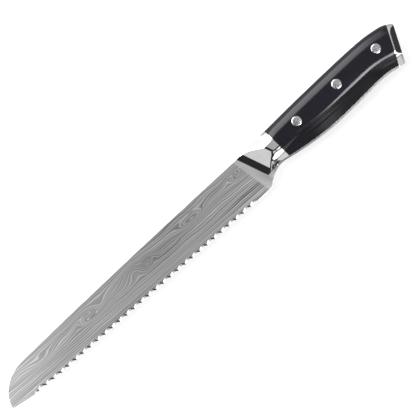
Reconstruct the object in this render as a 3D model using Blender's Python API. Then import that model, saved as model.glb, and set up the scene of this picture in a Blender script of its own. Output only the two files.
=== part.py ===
"""Serrated bread knife with a full tang, polished bolster and end cap, riveted handle scales.

It lies on its right side. +X runs from the tip to the butt, +Y from the cutting edge to the spine and
+Z up out of the left side. Sizes are in metres. The shape is drawn in the blade's own frame (x from the
tip, y from the line of the tooth tips, z from the blade's middle plane), and an empty moves it to the
world's origin, which is the bottom centre of the box around the whole knife.
"""
import math

import bmesh
import bpy
import numpy as np
from mathutils import Matrix, Vector

MM = 0.001

# Overall size
LENGTH = 330.0 * MM
WIDTH = 33.4 * MM
HANDLE_HALF = 9.5 * MM          # half the thickness of the handle, between its flat sides
GAP = 0.1 * MM                  # the glue or weld film between pieces

# Blank: blade and tang in one piece of steel
TANG_HALF = 1.1 * MM            # half the thickness of the tang and of the spine at the bolster
TAPER_Y = 0.020                 # half thickness lost per metre from the spine to the edge
TAPER_X = 0.00033               # half thickness lost per metre from the bolster to the tip
EDGE_LAND = 0.15 * MM           # thickness left at the cutting edge
NOSE_LENGTH = 24.0 * MM         # the stretch where the spine curves down to the tip
TIP_HEIGHT = 3.9 * MM

# Serration: scallops ground from the left side with a round wheel
TEETH = 30
PITCH = 5.92 * MM
FIRST_TOOTH = 19.3 * MM
SCALLOP_START = 16.2 * MM
SCALLOP_END = 196.2 * MM
WHEEL_RADIUS = 3.92 * MM
SCALLOP_BEVEL = 1.3 * MM        # height of the ground facet
PLAIN_BEVEL = 0.6 * MM          # the same on the plain stretches at the tip and at the heel
SCALLOP_STEPS = 8

# Heel, bolster and end cap
HEEL_X = 209.1 * MM
BOLSTER_LEAN = -0.4225          # dx/dy of the line where the bolster starts on the blade
BOLSTER_X = 214.6 * MM          # where that line crosses y = 0
BOLSTER_LIP = 0.12 * MM
HOLLOW_RADIUS = 15.6 * MM       # the wheel that grinds the bolster's hollow front
HOLLOW_SEGMENTS = 128
SCALE_LEAN = -0.082             # dx/dy of the joint between the bolster and the scales
SCALE_X = 229.8 * MM
CAP_LEAN = 0.43                 # dx/dy of the joint between the scales and the end cap
CAP_X = 313.3 * MM
BUTT_LEAN = 0.4386              # dx/dy of the butt
BUTT_X = 317.75 * MM
BUTT_HALF = 6.0 * MM            # half thickness left at the butt
BUTT_SLOPE = math.radians(41.0)
TAB_LENGTH = 2.4 * MM
TAB_LOW, TAB_HIGH = 11.0 * MM, 25.0 * MM
TAB_HALF = 0.8 * MM

# Handle section
TANG_PROUD = 1.2 * MM           # the tang stands out this far below the bolsters and scales
ROUND_HEIGHT = 7.0 * MM         # height of the round between the flat side and the back of the handle
TOP_HALF = 1.6 * MM             # half width of the flat along the back of the handle
SLOPE_END = 221.0 * MM          # up to here the round is a plain slope
OVAL_START = 233.0 * MM         # and from here on a true ellipse
FLUTE_HOLLOW = 0.6              # 0 is a flat flute, 1 one that starts level
FLUTE_STEPS = 4
ROUND_STEPS = 6
FOOT_EDGE = 0.3 * MM            # the square edge of a scale or bolster beside the tang
HANDLE_STEPS = 22
BOLSTER_STEPS = 10
CAP_STEPS = 2
TANG_STEPS = 36

# Rivets: two-part cutler's rivets, a pin pressed into a barrel
RIVETS = {
    "front": (246.2 * MM, 21.7 * MM),
    "middle": (279.5 * MM, 22.7 * MM),
    "rear": (311.9 * MM, 23.1 * MM),
}
HEAD_RADIUS = 3.2 * MM
HEAD_HEIGHT = 1.5 * MM
HEAD_CHAMFER = 0.1 * MM
PIN_RADIUS = 1.45 * MM
PIN_REACH = 6.5 * MM            # how far the pin goes past the middle plane
BORE_RADIUS = 1.56 * MM
BORE_REACH = 7.0 * MM
BARREL_RADIUS = 2.1 * MM
BARREL_REACH = 6.9 * MM
HOLE_RADIUS = 2.25 * MM
COUNTERBORE_RADIUS = 3.32 * MM
ROUND_SEGMENTS = 24


def spline(points):
    """A natural cubic spline y(x) through a few points, given in millimetres."""
    xs, ys = (np.array(values) * MM for values in zip(*points))
    steps = np.diff(xs)
    slopes = np.diff(ys) / steps
    system = np.eye(len(xs))
    right = np.zeros(len(xs))
    for i in range(1, len(xs) - 1):
        system[i, i - 1:i + 2] = steps[i - 1], 2 * (steps[i - 1] + steps[i]), steps[i]
        right[i] = 6 * (slopes[i] - slopes[i - 1])
    bends = np.linalg.solve(system, right)

    def value(x):
        i = int(np.clip(np.searchsorted(xs, x) - 1, 0, len(steps) - 1))
        step = steps[i]
        a, b = xs[i + 1] - x, x - xs[i]
        curve = (bends[i] * a ** 3 + bends[i + 1] * b ** 3) / (6 * step)
        return float(curve + (ys[i] / step - bends[i] * step / 6) * a
                     + (ys[i + 1] / step - bends[i + 1] * step / 6) * b)
    return value


# Outlines, in millimetres: the back and the belly of the handle, and the line of the tooth tips
handle_top = spline([(203.6, 28.2), (208.6, 29.0), (217.7, 29.6), (226.8, 30.05), (245.2, 31.2),
                     (263.6, 32.15), (281.9, 32.9), (301.5, 33.38), (312.5, 33.05), (318.7, 32.3),
                     (324.8, 30.9), (330.0, 28.0)])
handle_belly = spline([(209.1, 1.71), (213.3, 5.1), (218.0, 7.35), (222.5, 8.35), (228.0, 7.85),
                       (236.0, 6.5), (246.0, 5.25), (261.0, 4.4), (280.0, 5.0), (294.2, 6.0),
                       (303.0, 6.45), (311.0, 5.85), (317.5, 4.85), (322.0, 4.6)])
tip_edge = spline([(0.0, 3.55), (6.5, 2.6), (13.2, 1.75), (19.3, 0.98), (24.8, 0.5), (31.0, 0.14),
                   (37.0, 0.0)])
heel_edge = spline([(185.0, 0.0), (191.0, 0.25), (196.2, 0.65), (202.0, 0.93), (206.5, 1.12),
                    (208.2, 1.3), (209.1, 1.71)])
blade_spine = spline([(0.0, 20.74), (26.0, 22.05), (61.5, 23.7), (122.7, 26.0), (184.0, 27.76),
                      (203.6, 28.2)])

# How far the underside facet and the ridge stand above the belly, and the facet's half thickness
facet_rise = spline([(209.0, 5.0), (213.0, 3.5), (217.6, 2.6), (220.0, 2.6), (222.5, 2.95),
                     (228.5, 3.8), (233.0, 4.5), (245.0, 5.3), (262.0, 5.8), (298.0, 5.3),
                     (322.0, 4.6)])
ridge_rise = spline([(210.0, 7.6), (213.0, 9.2), (216.0, 10.1), (219.0, 9.1), (221.0, 7.9),
                     (223.0, 7.1), (226.0, 7.2), (230.0, 8.1), (235.0, 9.2), (246.0, 10.2),
                     (262.0, 10.1), (280.0, 9.8), (300.0, 8.9), (311.0, 8.2),
                     (322.0, 7.6)])
facet_half = spline([(213.0, 1.65), (219.0, 2.0), (222.5, 2.6), (228.5, 3.6), (235.0, 4.5),
                     (245.0, 5.4), (262.0, 5.9), (300.0, 5.9), (322.0, 5.6)])


def tooth_line(x):
    """The line of the tooth tips: straight, rising at the tip and at the heel."""
    if x < 37.0 * MM:
        return tip_edge(x)
    return heel_edge(x) if x > 185.0 * MM else 0.0


def spine_height(x):
    """The blade's spine, curved down to the tip over the nose."""
    height = blade_spine(x)
    if x >= NOSE_LENGTH:
        return height
    drop = blade_spine(0.0) - TIP_HEIGHT
    return height - drop * (1 - (1 - (1 - x / NOSE_LENGTH) ** 2.2) ** 0.6)


def scallops():
    """The scallops' ends: a short one before the first tooth, and a short one before the heel."""
    ends = [SCALLOP_START] + [FIRST_TOOTH + i * PITCH for i in range(TEETH)] + [SCALLOP_END]
    return list(zip(ends[:-1], ends[1:]))


def scallop_depth(x, start, end):
    """How deep a wheel that leaves both ends standing cuts at x."""
    half = (end - start) / 2
    across = x - (start + end) / 2
    return (math.sqrt(WHEEL_RADIUS ** 2 - min(across ** 2, half ** 2))
            - math.sqrt(WHEEL_RADIUS ** 2 - half ** 2))


def blade_half(x, y):
    """Half the blade's thickness: a flat grind that thins to the edge and to the tip."""
    return TANG_HALF - TAPER_Y * (28.0 * MM - y) - TAPER_X * (203.6 * MM - x)


def blank_column(low, high, bevel, half_low, half_high, sharp=1.0):
    """One column of the blank: edge, top of the bevel, spine, and back down the right side.

    sharp is 1 where the column ends in a cutting edge and 0 where it ends square.
    """
    (x_low, y_low), (x_high, y_high) = low, high
    part = bevel / (y_high - y_low)
    x_bevel = x_low + (x_high - x_low) * part
    half_bevel = half_low + (half_high - half_low) * part
    edge = half_low - sharp * (2 * half_low - EDGE_LAND)
    return [(x_low, y_low, edge), (x_bevel, y_low + bevel, half_bevel), (x_high, y_high, half_high),
            (x_high, y_high, -half_high), (x_low, y_low, -half_low)]


def straight_column(x, y_low, bevel):
    """A column of the blade at one x."""
    y_high = spine_height(x)
    return blank_column((x, y_low), (x, y_high), bevel, blade_half(x, y_low), blade_half(x, y_high))


def blade_columns():
    """The blade's columns from the tip to the end of the last scallop."""
    columns = []
    nose_steps = 12
    for i in range(nose_steps):
        x = SCALLOP_START * (i / nose_steps) ** 2
        bevel = min(PLAIN_BEVEL, 0.6 * (spine_height(x) - tooth_line(x)))
        columns.append(straight_column(x, tooth_line(x), bevel))
    for start, end in scallops():
        for i in range(SCALLOP_STEPS):
            x = start + (end - start) * i / SCALLOP_STEPS
            depth = scallop_depth(x, start, end)
            growth = min(1.0, (x - SCALLOP_START) / (1.5 * MM), (SCALLOP_END - x) / (1.5 * MM))
            bevel = PLAIN_BEVEL + (SCALLOP_BEVEL - PLAIN_BEVEL) * growth
            columns.append(straight_column(x, tooth_line(x) + depth, bevel))
    return columns


def fan(start, end, steps, belly, back, first=0):
    """Feet and heads of columns that fan from one leaning line to another."""
    pairs = []
    for i in range(first, steps + 1):
        x_low, x_high = (a + (b - a) * i / steps for a, b in zip(start, end))
        pairs.append(((x_low, belly(x_low)), (x_high, back(x_high)), i / steps))
    return pairs


def meet(x_at_zero, lean, outline):
    """The x where a leaning plane meets an outline."""
    x = x_at_zero
    for _ in range(60):
        x += 0.5 * (x_at_zero + lean * outline(x) - x)
    return x


def heel_columns():
    """The plain heel, and the ramp up to the full thickness where the bolster starts."""
    heel = (HEEL_X, HEEL_X + BOLSTER_LEAN * (28.0 - 1.7) * MM)
    front = (meet(BOLSTER_X, BOLSTER_LEAN, handle_belly), meet(BOLSTER_X, BOLSTER_LEAN, handle_top))
    columns = []
    for low, high, _ in fan((SCALLOP_END, SCALLOP_END), heel, 6, tooth_line, spine_height):
        columns.append(blank_column(low, high, PLAIN_BEVEL, blade_half(*low), blade_half(*high)))
    for low, high, part in fan(heel, front, 5, handle_belly, spine_height, 1):
        halves = [blade_half(*point) * (1 - part) + TANG_HALF * part for point in (low, high)]
        columns.append(blank_column(low, high, PLAIN_BEVEL, *halves, sharp=1 - part))
    return columns


def tang_columns():
    """The tang, from the bolster's front to the end cap, and the tab on its end."""
    front = (meet(BOLSTER_X, BOLSTER_LEAN, handle_belly), meet(BOLSTER_X, BOLSTER_LEAN, handle_top))
    end = (meet(CAP_X - GAP, CAP_LEAN, handle_belly), meet(CAP_X - GAP, CAP_LEAN, handle_top))
    halves = (TANG_HALF, TANG_HALF, 0.0)
    columns = []
    for low, high, _ in fan(front, end, TANG_STEPS, handle_belly, handle_top, 1):
        columns.append(blank_column(low, high, PLAIN_BEVEL, *halves))
    for reach in (-GAP, TAB_LENGTH):
        low, high = ((CAP_X + CAP_LEAN * y + reach, y) for y in (TAB_LOW, TAB_HIGH))
        columns.append(blank_column(low, high, PLAIN_BEVEL, TAB_HALF, TAB_HALF, 0.0))
    return columns


def flute(part):
    """Height across the flute, 0 at the facet and 1 at the ridge: it starts flat and steepens."""
    return (1 - FLUTE_HOLLOW) * part + FLUTE_HOLLOW * part ** 2


def foot_lift(x):
    """How much further the bolster's foot stands above the belly towards its front."""
    return 3.0 * MM * min(max((219.5 * MM - x) / (8.0 * MM), 0.0), 1.3) ** 1.3


def round_half(x, rise):
    """Half the thickness in the round under the back, from 0 at its foot to 1 on the back.

    It is an ellipse along the scales, and flattens to a slope towards the bolster's front.
    """
    oval = min(max((x - SLOPE_END) / (OVAL_START - SLOPE_END), 0.0), 1.0)
    oval = oval * oval * (3 - 2 * oval)
    part = (1 - rise ** (1.1 + 0.9 * oval)) ** (1 / (1 + oval))
    return TOP_HALF + (HANDLE_HALF - TOP_HALF) * part


def section(x, foot):
    """The left half of the handle's section at x, from the foot up to the back, as (y, z) points."""
    belly, back = handle_belly(x), handle_top(x)
    inside = TANG_HALF + GAP
    facet = (belly + facet_rise(x), facet_half(x))
    ridge = (belly + ridge_rise(x), HANDLE_HALF)
    foot = belly + foot + foot_lift(x)
    points = [(foot, inside), (foot, inside + FOOT_EDGE)]
    for i in range(FLUTE_STEPS + 1):
        part = i / FLUTE_STEPS
        points.append((facet[0] + (ridge[0] - facet[0]) * part,
                       facet[1] + (ridge[1] - facet[1]) * flute(part)))
    for i in range(ROUND_STEPS + 1):
        rise = math.sin(math.pi / 2 * i / ROUND_STEPS)
        points.append((back - ROUND_HEIGHT * (1 - rise), round_half(x, rise)))
    points.append((back, inside))
    return points


def leaning_x(x_at_zero, lean, foot, index):
    """The x where a leaning plane meets one lengthwise line of the handle."""
    x = x_at_zero + lean * WIDTH / 2
    for _ in range(60):
        x += 0.5 * (x_at_zero + lean * section(x, foot)[index][0] - x)
    return x


def body_rings(front, rear, foot, steps):
    """Rings of a stretch of the handle's left half between two leaning planes."""
    count = len(section(SCALE_X, foot))
    ends = [(leaning_x(*front, foot, i), leaning_x(*rear, foot, i)) for i in range(count)]
    rings = []
    for step in range(steps + 1):
        ring = []
        for i, (x_front, x_rear) in enumerate(ends):
            x = x_front + (x_rear - x_front) * step / steps
            ring.append((x, *section(x, foot)[i]))
        rings.append(ring)
    return rings


def mirrored(rings):
    """The same rings on the right side."""
    return [[(x, y, -z) for x, y, z in ring] for ring in rings]


def add_object(name, bm, material):
    """Make an object of a mesh that is closed, triangulated and shaded, and put it on the knife."""
    bmesh.ops.triangulate(bm, faces=bm.faces[:], quad_method="BEAUTY", ngon_method="EAR_CLIP")
    bmesh.ops.recalc_face_normals(bm, faces=bm.faces[:])
    mesh = bpy.data.meshes.new(name)
    bm.to_mesh(mesh)
    bm.free()
    mesh.shade_smooth()
    mesh.set_sharp_from_angle(angle=math.radians(28))
    obj = bpy.data.objects.new(name, mesh)
    if material:
        mesh.materials.append(material)
    bpy.context.scene.collection.objects.link(obj)
    obj.parent = KNIFE
    return obj


def loft(rings, bm=None):
    """A closed body through rings of points, with flat ends."""
    bm = bm or bmesh.new()
    rows = [[bm.verts.new(point) for point in ring] for ring in rings]
    count = len(rows[0])
    for row, following in zip(rows[:-1], rows[1:]):
        for i in range(count):
            j = (i + 1) % count
            bm.faces.new((row[i], row[j], following[j], following[i]))
    bm.faces.new(reversed(rows[0]))
    bm.faces.new(rows[-1])
    return bm


def turned(profile, centre, bm=None, segments=ROUND_SEGMENTS):
    """A closed body turned about a line along Z. The profile's ends lie on the axis."""
    bm = bm or bmesh.new()
    x, y = centre
    first = bm.verts.new((x, y, profile[0][1]))
    last = bm.verts.new((x, y, profile[-1][1]))
    rows = []
    for radius, z in profile[1:-1]:
        angles = [math.tau * i / segments for i in range(segments)]
        rows.append([bm.verts.new((x + radius * math.cos(a), y + radius * math.sin(a), z))
                     for a in angles])
    for i in range(segments):
        j = (i + 1) % segments
        bm.faces.new((first, rows[0][i], rows[0][j]))
        bm.faces.new((last, rows[-1][j], rows[-1][i]))
        for row, following in zip(rows[:-1], rows[1:]):
            bm.faces.new((row[j], row[i], following[i], following[j]))
    return bm


def cut(obj, bm, name):
    """Take a cutter's volume away from an object."""
    cutter = add_object(name, bm, None)
    cutter.hide_render = True
    cutter.display_type = "WIRE"
    boolean = obj.modifiers.new(name, "BOOLEAN")
    boolean.operation = "DIFFERENCE"
    boolean.solver = "EXACT"
    boolean.object = cutter


def make_material(name, colour, roughness, metallic):
    """A Principled material."""
    material = bpy.data.materials.new(name)
    material.use_nodes = True
    shader = material.node_tree.nodes["Principled BSDF"]
    shader.inputs["Base Color"].default_value = (*colour, 1.0)
    shader.inputs["Roughness"].default_value = roughness
    shader.inputs["Metallic"].default_value = metallic
    material.diffuse_color = (*colour, 1.0)
    return material


def make_blade(material):
    """The blank: blade, heel and tang, with a clear hole for each rivet's barrel."""
    blade = add_object("blade", loft(blade_columns() + heel_columns() + tang_columns()), material)
    holes = bmesh.new()
    for centre in RIVETS.values():
        reach = TANG_HALF + 1.0 * MM
        profile = [(0, reach), (HOLE_RADIUS, reach), (HOLE_RADIUS, -reach), (0, -reach)]
        turned(profile, centre, holes)
    cut(blade, holes, "cutter_tang_holes")


def hollow_cylinder(side):
    """The round wheel that hollows the bolster's front, down to a thin lip on the blade."""
    centre = side * (TANG_HALF + GAP + BOLSTER_LIP + HOLLOW_RADIUS)
    axis = Vector((BOLSTER_LEAN, 1.0, 0.0)).normalized()
    across = Vector((axis.y, -axis.x, 0.0))
    rings = []
    for reach in (-20.0 * MM, 60.0 * MM):
        start = Vector((BOLSTER_X, 0.0, centre)) + axis * reach
        ring = []
        for i in range(HOLLOW_SEGMENTS):
            angle = math.tau * i / HOLLOW_SEGMENTS
            ring.append(start + HOLLOW_RADIUS * (across * math.cos(angle)
                                                 + Vector((0, 0, 1)) * math.sin(angle)))
        rings.append(ring)
    return loft(rings)


def make_bolsters(material):
    """The two bolster halves, each ground hollow down to the blade."""
    rings = body_rings((BOLSTER_X, BOLSTER_LEAN), (SCALE_X - GAP / 2, SCALE_LEAN), TANG_PROUD,
                       BOLSTER_STEPS)
    for name, side, half in (("left", 1, rings), ("right", -1, mirrored(rings))):
        bolster = add_object("bolster_" + name, loft(half), material)
        cut(bolster, hollow_cylinder(side), "cutter_hollow_" + name)


def make_scales(material):
    """The two handle scales, with a stepped hole for each rivet."""
    rings = body_rings((SCALE_X + GAP / 2, SCALE_LEAN), (CAP_X - GAP / 2, CAP_LEAN), TANG_PROUD,
                       HANDLE_STEPS)
    for name, side, half in (("left", 1, rings), ("right", -1, mirrored(rings))):
        scale = add_object("scale_" + name, loft(half), material)
        top, step = HANDLE_HALF + 1.0 * MM, HANDLE_HALF - HEAD_HEIGHT - GAP
        profile = [(0, top), (COUNTERBORE_RADIUS, top), (COUNTERBORE_RADIUS, step),
                   (HOLE_RADIUS, step), (HOLE_RADIUS, 0), (0, 0)]
        holes = bmesh.new()
        for centre in RIVETS.values():
            turned([(radius, side * z) for radius, z in profile], centre, holes)
        cut(scale, holes, "cutter_rivet_holes_" + name)


def make_end_cap(material):
    """The end cap, with a sloping flat on each side of the butt and a pocket for the tang's tab."""
    rings = body_rings((CAP_X + GAP / 2, CAP_LEAN), (BUTT_X, BUTT_LEAN), 0.0, CAP_STEPS)
    whole = [left[1:-1] + right[-2:0:-1] for left, right in zip(rings, mirrored(rings))]
    bm = loft(whole)
    out = Vector((1.0, -BUTT_LEAN, 0.0)).normalized()
    for side in (1, -1):
        normal = out * math.sin(BUTT_SLOPE) + Vector((0, 0, side * math.cos(BUTT_SLOPE)))
        bmesh.ops.bisect_plane(bm, geom=bm.verts[:] + bm.edges[:] + bm.faces[:], dist=1e-7,
                               plane_co=(BUTT_X, 0.0, side * BUTT_HALF), plane_no=normal,
                               clear_outer=True)
        bmesh.ops.holes_fill(bm, edges=[edge for edge in bm.edges if edge.is_boundary])
    cap = add_object("end_cap", bm, material)
    pocket = []
    for reach in (-1.0 * MM, TAB_LENGTH + GAP):
        low, high = ((CAP_X + CAP_LEAN * y + reach, y) for y in (TAB_LOW - GAP, TAB_HIGH + GAP))
        half = TAB_HALF + GAP
        pocket.append([(*low, -half), (*low, half), (*high, half), (*high, -half)])
    cut(cap, loft(pocket), "cutter_tab_pocket")


def make_rivets(material):
    """Three cutler's rivets: a pin with a head on the left, a barrel with a head on the right."""
    under = HANDLE_HALF - HEAD_HEIGHT
    head = [(0, HANDLE_HALF), (HEAD_RADIUS - HEAD_CHAMFER, HANDLE_HALF),
            (HEAD_RADIUS, HANDLE_HALF - HEAD_CHAMFER), (HEAD_RADIUS, under)]
    pin = head + [(PIN_RADIUS, under), (PIN_RADIUS, -PIN_REACH), (0, -PIN_REACH)]
    barrel = head + [(BARREL_RADIUS, under), (BARREL_RADIUS, -BARREL_REACH),
                     (BORE_RADIUS, -BARREL_REACH), (BORE_RADIUS, BORE_REACH), (0, BORE_REACH)]
    for name, centre in RIVETS.items():
        add_object("rivet_" + name + "_pin", turned(pin, centre), material)
        turned_over = [(radius, -z) for radius, z in barrel]
        add_object("rivet_" + name + "_barrel", turned(turned_over, centre), material)


for old in list(bpy.data.objects):
    bpy.data.objects.remove(old)

KNIFE = bpy.data.objects.new("knife", None)
KNIFE.matrix_world = Matrix.Translation((-LENGTH / 2, -WIDTH / 2, HANDLE_HALF))
bpy.context.scene.collection.objects.link(KNIFE)

make_blade(make_material("etched_steel", (0.42, 0.42, 0.42), 0.38, 1.0))
make_bolsters(make_material("polished_steel", (0.62, 0.62, 0.63), 0.08, 1.0))
make_scales(make_material("black_scale", (0.012, 0.012, 0.015), 0.42, 0.0))
make_end_cap(make_material("polished_cap", (0.62, 0.62, 0.63), 0.10, 1.0))
make_rivets(make_material("rivet_steel", (0.50, 0.50, 0.51), 0.30, 1.0))
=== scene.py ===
"""Looks of the bread knife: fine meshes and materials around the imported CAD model, and the studio.

Every shape is drawn in the knife's own frame: x from the tip to the butt, y from the line of the tooth
tips to the spine, z from the blade's middle plane. Each object then stands at ORIGIN, which comes from
the CAD model's box, so an object's own coordinates are the knife's coordinates.
"""
import math

import bpy
import numpy as np
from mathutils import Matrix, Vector


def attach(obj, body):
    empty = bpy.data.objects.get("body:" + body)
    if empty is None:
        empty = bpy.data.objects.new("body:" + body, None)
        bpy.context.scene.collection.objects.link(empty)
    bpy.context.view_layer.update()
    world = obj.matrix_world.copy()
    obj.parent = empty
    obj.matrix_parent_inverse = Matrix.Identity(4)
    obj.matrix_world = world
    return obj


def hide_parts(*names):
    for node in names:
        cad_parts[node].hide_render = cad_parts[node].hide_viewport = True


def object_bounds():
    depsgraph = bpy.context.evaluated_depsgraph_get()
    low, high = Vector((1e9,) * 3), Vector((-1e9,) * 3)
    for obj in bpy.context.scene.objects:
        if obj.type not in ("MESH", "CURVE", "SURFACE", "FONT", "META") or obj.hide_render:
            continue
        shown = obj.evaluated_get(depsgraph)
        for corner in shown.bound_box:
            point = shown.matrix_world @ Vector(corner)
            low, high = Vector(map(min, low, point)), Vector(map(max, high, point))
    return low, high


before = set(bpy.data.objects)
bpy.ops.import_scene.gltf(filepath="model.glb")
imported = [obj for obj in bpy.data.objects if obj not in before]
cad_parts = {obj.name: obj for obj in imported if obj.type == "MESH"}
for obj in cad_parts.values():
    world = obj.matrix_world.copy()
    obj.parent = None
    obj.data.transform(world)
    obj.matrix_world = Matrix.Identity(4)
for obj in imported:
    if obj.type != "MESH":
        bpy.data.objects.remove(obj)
CAD_LOW, CAD_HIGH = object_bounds()
ORIGIN = Vector((CAD_LOW.x, CAD_LOW.y, (CAD_LOW.z + CAD_HIGH.z) / 2))
CENTRE = (CAD_LOW + CAD_HIGH) / 2
HANDLE_HALF = (CAD_HIGH.z - CAD_LOW.z) / 2

MM = 0.001
SEAM = 0.03 * MM                # the hairline between pieces that are ground flush
PLAY = 0.1 * MM                 # the room under the rivet heads and round the tang's tab
CUTTER_REACH = 1.0 * MM         # how far a cutter stands past the face that it cuts
SHARP = 30.0                    # an edge is shaded sharp above this angle, in degrees
BLADE_SHARP, BOLSTER_SHARP = 14.0, 40.0
MEET_ROUNDS, RING_ROUNDS = 60, 40       # of halving the distance to a leaning plane

# Blank
TANG_HALF = 1.1 * MM
TAPER_Y = 0.020                 # how fast half the thickness thins towards the edge
TAPER_X = 0.00033               # and towards the tip
BLADE_BACK, BLADE_END = 28.0 * MM, 203.6 * MM   # the y and x from which it thins
EDGE_LAND = 0.12 * MM
NOSE_LENGTH = 24.0 * MM
NOSE_FULL, NOSE_BLUNT = 2.2, 0.6        # powers of the nose's curve: a quarter ellipse has 2 and 0.5
TIP_HEIGHT = 3.9 * MM
SPINE_ROUND, SPINE_LIMIT = 0.12 * MM, 0.3       # and the most it takes of the side's height
TANG_ROUND, TANG_LIMIT = 0.40 * MM, 0.8         # and the most it takes of half the thickness
FOOT_STEPS, SIDE_STEPS, SPINE_STEPS = 4, 4, 3   # along a column's foot, side and spine
NOSE_STEPS, HEEL_STEPS, RAMP_STEPS, TANG_STEPS = 48, 24, 16, 120

# Serration
TEETH = 30
PITCH = 5.92 * MM
FIRST_TOOTH = 19.3 * MM
SCALLOP_START = 16.2 * MM
SCALLOP_END = 196.2 * MM
SCALLOP_GROWTH = 0.8 * MM       # from the plain bevel to the scallops' full one
LEVEL_START, LEVEL_END = 37.0 * MM, 185.0 * MM  # where the line of the tooth tips is straight
WHEEL_RADIUS = 3.92 * MM
SCALLOP_BEVEL = 1.3 * MM
PLAIN_BEVEL = 0.6 * MM
BEVEL_LIMIT = 0.6               # the most a bevel takes of the nose's height
HEEL_BEVEL = 0.25 * MM
HEEL_SIDE = 100.0 * MM          # past this x a scallop's bevel starts from the heel's
TIP_GROUND = 0.38               # how much of the thickness the plain bevels take away
BEVEL_HOLLOW = 0.10 * MM        # how far the wheel hollows a facet between its edges
SCALLOP_STEPS = 22
FACET_DEPTH = 0.02 * MM         # a ground face lies at least this far below the blade's side
FACET_FACING = 0.3              # its normal has at least this much of +Z
FACET_TOP = 6.0 * MM            # and it lies below this y

# Heel, bolster and end cap: leaning planes, each x = X + LEAN * y
HEEL_X, HEEL_HEIGHT = 209.1 * MM, 26.3 * MM     # the heel's foot, and from there up to the spine
RAMP_POWER = 1.5                # how the thickness grows from the heel to the bolster
BLUNTING = 2.5                  # how fast the edge turns square on the way
BOLSTER_X, BOLSTER_LEAN = 214.6 * MM, -0.4225
BOLSTER_LIP = 0.03 * MM
HOLLOW_RADIUS = 13.5 * MM
HOLLOW_STEEPEST = math.radians(45.0)         # where the hollow goes on as a straight slope
HOLLOW_EDGE = 0.6 * MM          # how softly the hollow's edge is polished over
BROW_WIDTH, BROW_SLOPE = 0.8 * MM, 0.15         # the shallow slope round the hollow's edge
BROW_RISE = 1.8                 # how fast the wheel rises past the outside beside that edge
SCALE_X, SCALE_LEAN = 229.8 * MM, -0.082
CAP_X, CAP_LEAN = 313.3 * MM, 0.43
BUTT_X, BUTT_LEAN = 317.75 * MM, 0.4386
BUTT_HALF = 6.3 * MM
BUTT_SLOPE = math.radians(41.0)
BUTT_EDGE = 0.35 * MM
TAB_LENGTH = 2.4 * MM
TAB_LOW, TAB_HIGH, TAB_HALF = 11.0 * MM, 25.0 * MM, 0.8 * MM
BOLSTER_RINGS, SCALE_RINGS, CAP_RINGS = 230, 120, 60

# Handle section, from its foot: the underside, a crease, the flute, the ridge, the side and the back
TANG_PROUD = 1.2 * MM
MIDDLE_HEIGHT = 16.0 * MM
ROUND_HEIGHT = 7.0 * MM
TOP_HALF = 1.6 * MM
SLOPE_END, OVAL_START = 221.0 * MM, 233.0 * MM
SLOPE_POWER, OVAL_POWER = 1.1, 2.0
FOOT_EDGE = 0.5 * MM
FOOT_LIFT = 3.0 * MM            # of the bolster's foot, LIFT_RUN before LIFT_START
LIFT_START, LIFT_RUN = 219.5 * MM, 8.0 * MM
LIFT_LIMIT, LIFT_POWER = 1.3, 1.3
FLUTE_HOLLOW = 0.6
CREST, CREST_LIMIT = 1.1 * MM, 0.3      # reach of the ridge's round, and the most it takes of the flute
BOLSTER_CREST, BOLSTER_CREST_LIMIT = 2.2 * MM, 0.55     # the same on the bolster
REAR_CREST = 3.0 * MM           # and its reach up the side on the rear of the scales
CREASE, REAR_CREASE = 0.35 * MM, 0.9 * MM       # reach of the crease's round
CREASE_LIMIT = 0.3              # and the most it takes of the underside
BROAD_END, BROAD_FADE = 238.0 * MM, 10.0 * MM   # where the bolster's values fade out
REAR_START, REAR_FADE = 255.0 * MM, 35.0 * MM   # and where the rear's values fade in
IN_LINE = 0.02                  # the sine of an angle too flat for a round's two ways to cross
UNDER_STEPS, CREASE_STEPS, FLUTE_STEPS = 8, 5, 16
CREST_STEPS, FLAT_STEPS, BACK_STEPS = 12, 16, 48

# Rivets
RIVETS = {
    "front": (246.2 * MM, 21.7 * MM),
    "middle": (279.5 * MM, 22.7 * MM),
    "rear": (311.9 * MM, 23.1 * MM),
}
HEAD_RADIUS = 3.2 * MM
HEAD_HEIGHT = 1.5 * MM
HEAD_PROUD = 0.10 * MM
HEAD_FLAT, CROWN_DROP, CROWN_STEPS = 0.66, 0.06 * MM, 4         # the head's middle, nearly flat
RIM_DROP, RIM_STEPS = 0.30 * MM, 10                             # and its rounded rim
PIN_RADIUS, PIN_REACH = 1.45 * MM, 6.5 * MM
BORE_RADIUS, BORE_REACH = 1.56 * MM, 7.0 * MM
BARREL_RADIUS, BARREL_REACH = 2.1 * MM, 6.9 * MM
HOLE_RADIUS = 2.25 * MM
COUNTERBORE_RADIUS = 3.24 * MM
ROUND_SEGMENTS = 72

# Studio
STUDIO_RADIUS = 9.0
CARD_FADE = 0.6                 # the part of a card's width over which it brightens
FRAME_WIDTH = 254.7 * MM        # what the camera sees
CAMERA_TURN = math.radians(-41.2)
CAMERA_SHIFT = Vector((5.5, 0.7, 0.0)) * MM
SENSOR_WIDTH, FOCAL_LENGTH = 36.0, 600.0        # in millimetres, as Blender takes them


# ---------------------------------------------------------------- curves

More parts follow.
